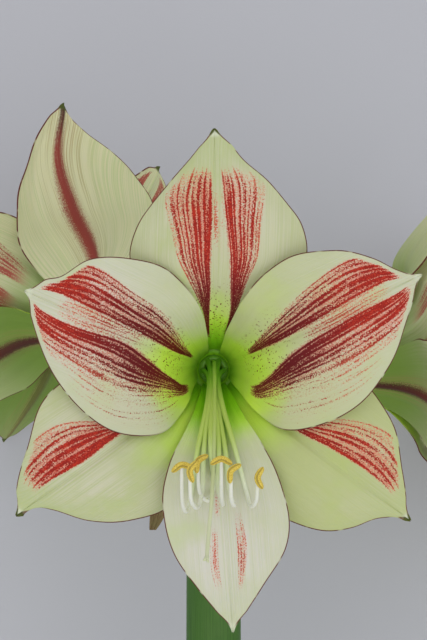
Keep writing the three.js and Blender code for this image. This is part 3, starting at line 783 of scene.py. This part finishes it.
def tube_material():
    g = Graph("flower_tube", tissue=TUBE_TISSUE)
    groove, rib = (0.13, 0.25, 0.045), (0.2, 0.34, 0.07)
    # throat is the bore's green inside, made brighter than the tissue as a painted glow, so the shaded
    # bore still shows green.
    top, throat = (0.22, 0.38, 0.07), (0.32, 0.7, 0.015)
    ribs = g.streaky(("around", 9), ("along", 2), 0.0)
    g.bump(ribs, 0.0004, 0.6)
    ends = ((g.step("along", 0.75, 1.0), top), (g.step("along", 1.02, 1.15), throat))
    colour = g.layers(groove, (g.step(ribs, 0.35, 0.7), rib), *ends)
    return g.finish(colour, g.scaled(g.noise(300), 0.2, 0.35))


def scape_material():
    """Green with fibres and a pale bloom, and the wet flesh of the cut."""
    g = Graph("scape", specular=0.25)
    dark, fresh, top = (0.045, 0.13, 0.018), (0.07, 0.18, 0.025), (0.1, 0.19, 0.045)
    powder, flesh, wet = (0.12, 0.21, 0.06), (0.56, 0.62, 0.36), (0.4, 0.5, 0.22)
    fibres = g.streaky(("around", 16), ("along", 10), 0.0, 3.0, 0.6)
    bloom = g.noise(38, 3.0)
    g.bump(g.plus(fibres, g.times(g.noise(900), 0.4)), 0.0003, 0.5)
    colour = g.layers(
        dark,
        (g.step(fibres, 0.35, 0.7), fresh),
        (g.step(bloom, 0.5, 0.75, 0.25), powder),
        (g.step("along", 0.93, 1.0), top),
        ("flesh", g.mix(g.step(g.noise(700), 0.4, 0.65), flesh, wet)),
    )
    return g.finish(colour, g.scaled(bloom, 0.25, 0.36))


def spathe_material():
    g = Graph("withered_spathe", roughness=0.8)
    straw, vein, patch = (0.27, 0.2, 0.08), (0.13, 0.085, 0.03), (0.2, 0.17, 0.06)
    veins = g.streaky(("across", 9), ("along", 3), 0.0, 3.0, 0.6)
    patches = g.step(g.noise(130), 0.5, 0.7)
    g.bump(g.plus(veins, g.times(g.noise(1100), 0.4)), 0.0006, 0.8)
    return g.finish(g.layers(straw, (g.step(veins, 0.35, 0.65), vein), (patches, patch)))


def thread_material(name, colours, turns, clouds):
    g = Graph(name, roughness=0.4, tissue=STAMEN_TISSUE)
    foot, middle, end, cloud = colours
    scale, strength = clouds
    first, second = (g.step("along", *limits) for limits in turns)
    clouded = g.times(g.noise(scale), strength)
    return g.finish(g.layers(foot, (first, middle), (second, end), (clouded, cloud)))


def anther_material():
    g = Graph("anther", roughness=0.75)
    dark, bright, groove = (0.6, 0.42, 0.04), (0.88, 0.7, 0.12), (0.2, 0.14, 0.02)
    pollen = g.noise(2600, 2.0, 0.7)
    g.bump(pollen, 0.0003, 0.9)
    grooves = g.step("groove", 0.3, 0.9, 0.6)
    return g.finish(g.layers(dark, (g.step(pollen, 0.35, 0.65), bright), (grooves, groove)))


def floor_material():
    g = Graph("floor", roughness=0.75)
    g.bump(g.noise(900), 0.0002, 0.2)
    return g.finish(g.mix(g.noise(6), (0.5, 0.51, 0.545), (0.53, 0.54, 0.575)))


# Round stalks

SIDES = {"scape": 72, "tube": 48, "filament": 16, "style": 16, "stigma": 12}


def cross_frames(path):
    """Two directions across a path at each of its points, turned as little as possible on the way."""
    tangents = np.gradient(path, axis=0)
    tangents /= np.linalg.norm(tangents, axis=1, keepdims=True)
    first = np.cross(tangents[0], (0.3, 0.9, 0.2))
    firsts = []
    for tangent in tangents:
        first = first - tangent * np.dot(first, tangent)
        first /= np.linalg.norm(first)
        firsts.append(first)
    firsts = np.array(firsts)
    return firsts, np.cross(tangents, firsts)


def angles_round(sides):
    return np.linspace(0, 2 * np.pi, sides, endpoint=False)


def rings_along(path, radii, sides):
    """Rings of points round a path. radii is one row of numbers, or a table by row and angle."""
    firsts, seconds = cross_frames(path)
    angles = angles_round(sides)
    cosines, sines = np.cos(angles)[None, :, None], np.sin(angles)[None, :, None]
    around = firsts[:, None] * cosines + seconds[:, None] * sines
    return path[:, None] + around * np.reshape(radii, (len(path), -1, 1))


def skin(rings):
    """Points and faces of a closed solid through rings, with a fan over each end."""
    count, sides = rings.shape[:2]
    points = np.vstack([rings.reshape(-1, 3), rings[0].mean(0), rings[-1].mean(0)])
    faces = list(grid_faces(count, sides, closed=True))
    first, last = count * sides, count * sides + 1
    faces += [[first, (j + 1) % sides, j] for j in range(sides)]
    start = (count - 1) * sides
    faces += [[last, start + j, start + (j + 1) % sides] for j in range(sides)]
    return points, faces


def row_values(rings, values):
    """One value for each point of a skin, from one for each ring."""
    sides = rings.shape[1]
    return np.concatenate([np.repeat(values, sides), [values[0], values[-1]]])


def angle_values(rings):
    """A pattern round a skin that closes on itself, for its ribs and fibres to follow."""
    count, sides = rings.shape[:2]
    angles = angles_round(sides)
    return np.concatenate([np.tile(np.cos(angles) + np.sin(3 * angles), count), [0, 0]])


def stalk(path, radii, sides, values):
    """Points, faces and values of a round solid, from a radius and a value for each step of its path."""
    rings = rings_along(path, radii, sides)
    return *skin(rings), row_values(rings, values)


def tube_path(bloom):
    """The middle line from the umbel up the pedicel and through the ovary and the tube to its rim."""
    throat, facing = np.array(bloom["throat"]), np.array(bloom_axes(bloom)[2])
    x, y = polar(UMBEL["ring_radius"], -90 - bloom["pedicel"])
    length, behind = TUBE["length"], TUBE["length"] + TUBE["ovary"]
    rim = throat - facing * (GAP + 0.4)
    bend = (rim - facing * (behind + 5)) * 0.65 + np.array([x * 1.4, y * 1.4, 24]) * 0.35
    upper = [rim - facing * back for back in (behind, length, length / 2, 0)]
    return even_steps(spline([(x, y, GAP), (x, y, 10), bend, *upper], 400), 140)


def tube_radii(share, angles, at):
    """The radius by row and angle: the pedicel, the ovary with three lobes, and the ribbed tube."""
    length, behind = TUBE["length"], TUBE["length"] + TUBE["ovary"]
    pedicel, ovary = UMBEL["pedicel_radius"], TUBE["ovary_radius"]
    waist, rim = TUBE["waist_radius"], TUBE["rim_radius"]
    profile = spline([
        (0, pedicel), (at(behind) * 0.35, pedicel * 0.95), (at(behind) * 0.7, pedicel * 0.95),
        (at(behind), pedicel * 1.05), (at(behind - 4), ovary * 0.93), (at(behind - 8), ovary),
        (at(length + 2), ovary * 0.88), (at(length - 3), waist), (at(length - 12), waist * 1.25),
        (at(5), rim * 0.87), (1, rim),
    ], 200)
    radii = np.interp(share, profile[:, 0], profile[:, 1])
    lobed = smoothstep(share, at(behind), at(behind - 6))
    lobed = lobed * smoothstep(share, at(length - 4), at(length + 3))
    ribbed = smoothstep(share, at(length), at(length - 10))
    lobes = 0.05 * np.cos(3 * angles)[None] * lobed[:, None]
    ribs = 0.02 * np.cos(6 * angles)[None] * ribbed[:, None]
    return radii[:, None] * (1 + (lobes + ribs))


def build_tube(bloom_name, material):
    """The pedicel, ovary and tube as one skin, which turns in over the rim and ends down the bore."""
    path = tube_path(BLOOMS[bloom_name])
    total = np.linalg.norm(np.diff(path, axis=0), axis=1).sum()
    share = np.linspace(0, 1, len(path))

    def at(distance):
        return 1 - distance / total

    sides = SIDES["tube"]
    outer = rings_along(path, tube_radii(share, angles_round(sides), at), sides)
    bore_radii = np.interp(share, [at(16), at(8), 1], np.array([0.5, 0.72, 1]) * TUBE["bore_radius"])
    places = [1, *(at(depth) for depth in (4, 8, 12, 16))]
    back_in = np.interp(places, share, np.arange(len(path))).round().astype(int)
    rings = np.concatenate([outer, rings_along(path, bore_radii, sides)[back_in]])
    along = row_values(rings, np.concatenate([share, np.full(len(back_in), 1.2)]))
    fields = {"along": along, "around": angle_values(rings)}
    node = f"{bloom_name}_flower_tube"
    finished(f"{bloom_name}_tube_and_ovary", *skin(rings), material, [node], "tube", **fields)


# Stamens and style, in the coordinates of their bloom. They bend and end where the solids' do.

# The filaments stand on a ring with a round section, at the height of their feet.
FILAMENT = {"ring_radius": 5.0, "ring_section": 1.5, "foot": -0.9, "base_radius": 1.3, "tip_radius": 0.7}
ANTHER = {"length": 9, "radius": 1.35, "bend": 2.2, "groove_depth": 0.22, "groove_width": 0.45}
STYLE = {"radius": 0.8, "stigma_radius": 1.5, "lobe_radius": 0.75}

# How much further forward they reach in a bloom that is less open, for each 1 of its "close"
FORWARD = 7

# Where each filament turns up, the middle of its anther, and the anther's direction in degrees
STAMENS = [
    {"bend": (-11.3, -57, 68), "anther": (-13, -37, 80), "turn": 10},
    {"bend": (-6.7, -55, 73), "anther": (-9.6, -39, 86), "turn": 80},
    {"bend": (-2, -53, 62), "anther": (-6.4, -36, 73), "turn": 58},
    {"bend": (3.8, -54, 69), "anther": (3.2, -34.5, 81), "turn": 0},
    {"bend": (8.5, -54, 75), "anther": (7, -39, 88), "turn": 60},
    {"bend": (15.5, -55, 65), "anther": (18, -42.5, 77), "turn": 88},
]
STYLE_PATH = [
    (0.3, 3.4, 14), (0.5, -7, 37), (0.3, -28, 62), (-0.6, -49, 76), (-2, -65, 86), (-2.7, -73.5, 93),
]


def filament_path(index, forward):
    """From the ring through a narrow waist, along the bottom petal, and up in a round hook."""
    stamen = STAMENS[index]
    bend, anther = np.array(stamen["bend"], float), np.array(stamen["anther"], float)
    x, y = polar(FILAMENT["ring_radius"], 180 + 60 * (-index if index < 3 else index - 2))
    waist = (x * 0.42, y * 0.35 - 2.6, 11)
    run = [(bend[0] * 0.22, y * 0.25 - 13, 36), (bend[0] * 0.6, y * 0.15 - 33, 57)]
    arriving = bend + np.array([-math.copysign(2.0, bend[0]), 6, -7])
    turning = bend + (anther - bend) * (0.8, 0.2, 0.5)
    rest = [np.array(point) + (0, 0, forward) for point in (*run, arriving, bend, turning, anther)]
    return spline([(x, y, FILAMENT["foot"]), waist, *rest], 240)


def anther_path(index, forward):
    stamen = STAMENS[index]
    middle = np.array(stamen["anther"]) + (0, 0, forward)
    reach = np.array([*polar(ANTHER["length"] / 2, stamen["turn"]), 0])
    drop = np.array([*polar(ANTHER["bend"], stamen["turn"] - 90), 0])
    return even_steps(spline([middle - reach + drop, middle, middle + reach + drop], 60), 30)


def joined(parts):
    """One set of points and faces from several, with the values of every point."""
    points, faces, values, start = [], [], [], 0
    for part_points, part_faces, part_values in parts:
        points.append(part_points)
        values.append(part_values)
        faces += [[index + start for index in face] for face in part_faces]
        start += len(part_points)
    return np.vstack(points), faces, np.concatenate(values)


def filament_part(index, forward):
    path = even_steps(filament_path(index, forward), 90)
    share = np.linspace(0, 1, len(path))
    radii = FILAMENT["base_radius"] + (FILAMENT["tip_radius"] - FILAMENT["base_radius"]) * share**1.5
    return stalk(path, radii, SIDES["filament"], share)


def ring_part():
    """The low ring on which the filaments stand."""
    turns = np.linspace(0, 2 * np.pi, 49)
    circle = np.column_stack([np.cos(turns), np.sin(turns), 0 * turns])
    path = circle * FILAMENT["ring_radius"] + (0, 0, FILAMENT["foot"])
    return stalk(path, np.full(len(turns), FILAMENT["ring_section"]), SIDES["filament"], 0 * turns)


def anther_part(index, forward):
    """A curved anther with round ends and a groove along both sides."""
    path = anther_path(index, forward)
    share = np.linspace(-1, 1, len(path))
    angles = angles_round(SIDES["filament"])
    from_grooves = (angles - np.pi, np.minimum(angles, 2 * np.pi - angles))
    groove = sum(np.exp(-((away / ANTHER["groove_width"]) ** 2)) for away in from_grooves)
    round_ends = np.sqrt(np.clip(1 - np.abs(share) ** 3.5, 0.02, 1))
    radii = ANTHER["radius"] * round_ends[:, None] * (1 - ANTHER["groove_depth"] * groove[None])
    rings = rings_along(path, radii, SIDES["filament"])
    return *skin(rings), np.concatenate([np.tile(groove, len(path)), [0, 0]])


def build_stamens(bloom_name, filament_look, anther_look):
    bloom = BLOOMS[bloom_name]
    forward = FORWARD * bloom["close"]
    filaments = [filament_part(index, forward) for index in range(len(STAMENS))]
    anthers = [anther_part(index, forward) for index in range(len(STAMENS))]
    for label, parts, look, attribute in (
        ("filaments", [*filaments, ring_part()], filament_look, "along"),
        ("anthers", anthers, anther_look, "groove"),
    ):
        points, faces, values = joined(parts)
        points, node = in_plant(points, bloom), f"{bloom_name}_stamens"
        finished(f"{bloom_name}_{label}", points, faces, look, [node], "stamens", **{attribute: values})


def stigma_lobe(path, direction):
    """One of the short lobes that spread from the style's end, in a direction round it in degrees."""
    tangent = path[-1] - path[-3]
    tangent /= np.linalg.norm(tangent)
    firsts, seconds = cross_frames(path)
    angle = math.radians(direction)
    out = firsts[-1] * math.cos(angle) + seconds[-1] * math.sin(angle)
    start = path[-1] - tangent * 0.8
    ends = [start + tangent * 1.6 + out * 0.7, start + tangent * 2.2 + out * STYLE["stigma_radius"]]
    curve = even_steps(spline([start, *ends], 20), 10)
    steps = np.linspace(0, 1, len(curve))
    radii = STYLE["lobe_radius"] * np.sqrt(np.clip(1 - steps**3, 0.03, 1))
    return stalk(curve, radii, SIDES["stigma"], np.ones(len(curve)))


def build_style(bloom_name, material):
    """The style, from down in the tube to its end, and the three lobes of its stigma."""
    bloom = BLOOMS[bloom_name]
    ahead = np.array([0, 0, FORWARD * bloom["close"]])
    reach = [np.array(p) + (ahead if i else 0) for i, p in enumerate(STYLE_PATH)]
    path = even_steps(spline([(0, 0, -16.1), (0, 0, -8), *reach], 260), 100)
    radii, share = np.full(len(path), STYLE["radius"]), np.linspace(0, 1, len(path))
    thread = stalk(path, radii, SIDES["style"], share)
    lobes = [stigma_lobe(path, direction) for direction in (20, 140, 260)]
    points, faces, along = joined([thread, *lobes])
    points, node = in_plant(points, bloom), f"{bloom_name}_style"
    finished(f"{bloom_name}_pistil", points, faces, material, [node], "style", along=along)


# Scape and spathe


def scape_profile():
    """Radius, height and share of flesh of each ring: down the bore, over the cut face, up the skin and
    out and in again over the shoulder."""
    length, bore_top = SCAPE["length"], -12
    heights = -length * (1 - np.linspace(0, 1, 160))
    outer = np.interp(heights, [-length, -14], [SCAPE["cut_radius"], SCAPE["top_radius"]])
    outer = outer + np.interp(heights, [-16, -8, -1.5, 0], [0, 1.1, 1.0, 0.2])
    bore_heights = np.linspace(bore_top, -length, 40)
    bore = np.interp(bore_heights, [-length, bore_top], [SCAPE["cut_radius"], SCAPE["top_radius"]])
    bore = bore - SCAPE["wall"]
    cut = np.linspace(bore[-1], outer[0], 7)[1:-1]
    radii = np.concatenate([bore, cut, outer])
    levels = np.concatenate([bore_heights, np.full(len(cut), -length), heights])
    flesh = np.concatenate([np.ones(len(bore) + len(cut)), [0.6], np.zeros(len(outer) - 1)])
    return radii, levels, flesh


def build_scape(material):
    """The hollow stalk, slightly flattened and ridged."""
    radii, levels, flesh = scape_profile()
    angles = angles_round(SIDES["scape"])
    ridges = 1 + 0.004 * np.cos(9 * angles + 1) + 0.003 * np.cos(14 * angles)
    x, y = ridges * np.cos(angles), ridges * SCAPE["squash"] * np.sin(angles)
    rings = [np.column_stack([r * x, r * y, 0 * x + height]) for r, height in zip(radii, levels)]
    rings = np.stack(rings)
    along = row_values(rings, 1 + levels / SCAPE["length"])
    fields = {"along": along, "around": angle_values(rings), "flesh": row_values(rings, flesh)}
    finished("scape_stalk", *skin(rings), material, ["scape"], "scape", **fields)


# The withered valves: direction round the scape, twist of the tip, and the path of the middle line as
# distance from the axis and height.
SPATHE = {
    "thickness": 0.6, "half_width": 7, "narrowing": 0.78, "columns": 48, "rows": 90, "pleat": 1.1,
    "crumple": 0.35, "flat_radius": 60,
}
VALVES = {
    "left": {
        "around": 70, "twist": 65,
        "path": [(11.9, 0.4), (15, 9), (21, 13), (26, 8), (27.8, -1), (30, -7.5)],
    },
    "right": {
        "around": -75, "twist": -40,
        "path": [(11.9, 0.4), (14.5, 10), (19, 17), (25, 17), (29, 9), (30.5, -3)],
    },
}


def valve_grid(valve, along, across):
    """The middle surface of a valve: wrapped round the scape at its foot, flat and twisted further up."""
    angle = math.radians(valve["around"])
    outward = np.array([-math.sin(angle), -math.cos(angle), 0])
    sideways = np.array([outward[1], -outward[0], 0])
    middle = even_steps(spline(valve["path"], 200), SPATHE["rows"])
    reach, height = middle[:, :1], middle[:, 1:]
    width = SPATHE["half_width"] * (1 - SPATHE["narrowing"] * along**2.2)
    pleats = (1 - np.cos(3 * np.pi * (across + 1))) / 2
    pleats = SPATHE["pleat"] * smoothstep(along, 0, 0.35) * (1 - along) * pleats
    crumple = SPATHE["crumple"] * np.sin(9 * along + 5 * across) * np.sin(23 * along - 3 * across)
    crumple = crumple * smoothstep(along, 0.1, 0.4)
    start = UMBEL["shoulder"] + 1.1
    wrap = start + (SPATHE["flat_radius"] - start) * smoothstep(along, 0, 0.4)
    turn = across * width / wrap
    twist = (math.radians(valve["twist"]) * smoothstep(along, 0.5, 0.9))[..., None]
    swell = (pleats + crumple - wrap * (1 - np.cos(turn)))[..., None]
    breadth = (wrap * np.sin(turn))[..., None]
    grid = reach[..., None] * outward + swell * (outward * np.cos(twist) - sideways * np.sin(twist))
    grid = grid + breadth * (sideways * np.cos(twist) + outward * np.sin(twist))
    grid[..., 2] = height
    return grid


def build_valve(name, material):
    """A withered valve of the spathe: pleated, crumpled, arching over and hanging down."""
    along = np.linspace(0, 1, SPATHE["rows"] + 1)[:, None]
    across = np.linspace(-1, 1, SPATHE["columns"] + 1)[None, :]
    grid = valve_grid(VALVES[name], along, across)
    both = (2, *grid.shape[:2])
    fields = {"along": np.broadcast_to(along, both), "across": np.broadcast_to(across, both)}
    solid = sheet(grid, surface_normals(grid) * SPATHE["thickness"] / 2)
    finished(f"{name}_withered_valve", *solid, material, [f"{name}_spathe_valve"], "spathe", **fields)


# Camera, floor and light, in the frame's metres

BLOOMS_MIDDLE = (0, 0.1, 0.15)


def add_camera():
    data = bpy.data.cameras.new("photo_view")
    data.sensor_width = CAMERA["sensor"]
    data.lens = CAMERA["focal_pixels"] / CAMERA["height_pixels"] * CAMERA["sensor"]
    camera = placed("photo_view", data)
    look = Matrix(((1, 0, 0), (0, 0, -1), (0, 1, 0))).to_4x4()
    matrix = plant_matrix() @ Matrix.Translation(CAMERA["place"]) @ look
    matrix.translation *= MM
    camera.matrix_world = matrix
    bpy.context.scene.camera = camera


def add_floor(half):
    mesh = bpy.data.meshes.new("floor")
    corners = [(-half, -half, 0), (half, -half, 0), (half, half, 0), (-half, half, 0)]
    mesh.from_pydata(corners, [], [(0, 1, 2, 3)])
    mesh.materials.append(floor_material())
    placed("floor", mesh)


def add_light(name, place, size, power, colour):
    """A square lamp that shines on the blooms."""
    data = bpy.data.lights.new(name, "AREA")
    data.size = size
    data.energy = power
    data.color = colour
    light = placed(name, data)
    light.location = place
    light.rotation_euler = (Vector(BLOOMS_MIDDLE) - Vector(place)).to_track_quat("-Z", "Y").to_euler()


def add_sky(colour, strength):
    world = bpy.data.worlds.new("studio")
    world.use_nodes = True
    background = world.node_tree.nodes["Background"]
    background.inputs["Color"].default_value = colour
    background.inputs["Strength"].default_value = strength
    bpy.context.scene.world = world
    bpy.context.scene.view_settings.view_transform = "Standard"


def main():
    add_camera()
    add_floor(half=6.0)
    add_sky(colour=(0.97, 0.97, 1.0, 1), strength=0.72)
    add_light("key", place=(-0.6, -0.2, 2.4), size=3.2, power=12.5, colour=(1.0, 0.98, 0.96))
    add_light("fill", place=(1.5, -1.3, 1.8), size=2.2, power=11, colour=(1, 1, 1))
    tepal_looks = {whorl: tepal_material(f"{whorl}_tepal", whorl) for whorl in ("outer", "inner")}
    tube_look, anther_look = tube_material(), anther_material()
    filament_look, style_look = (thread_material(name, **look) for name, look in THREADS.items())
    build_scape(scape_material())
    spathe_look = spathe_material()
    for name in VALVES:
        build_valve(name, spathe_look)
    for bloom_name in BLOOMS:
        build_tube(bloom_name, tube_look)
        for tepal_name, shape in TEPALS.items():
            build_tepal(bloom_name, tepal_name, tepal_looks[shape["whorl"]])
        build_stamens(bloom_name, filament_look, anther_look)
        build_style(bloom_name, style_look)


main()
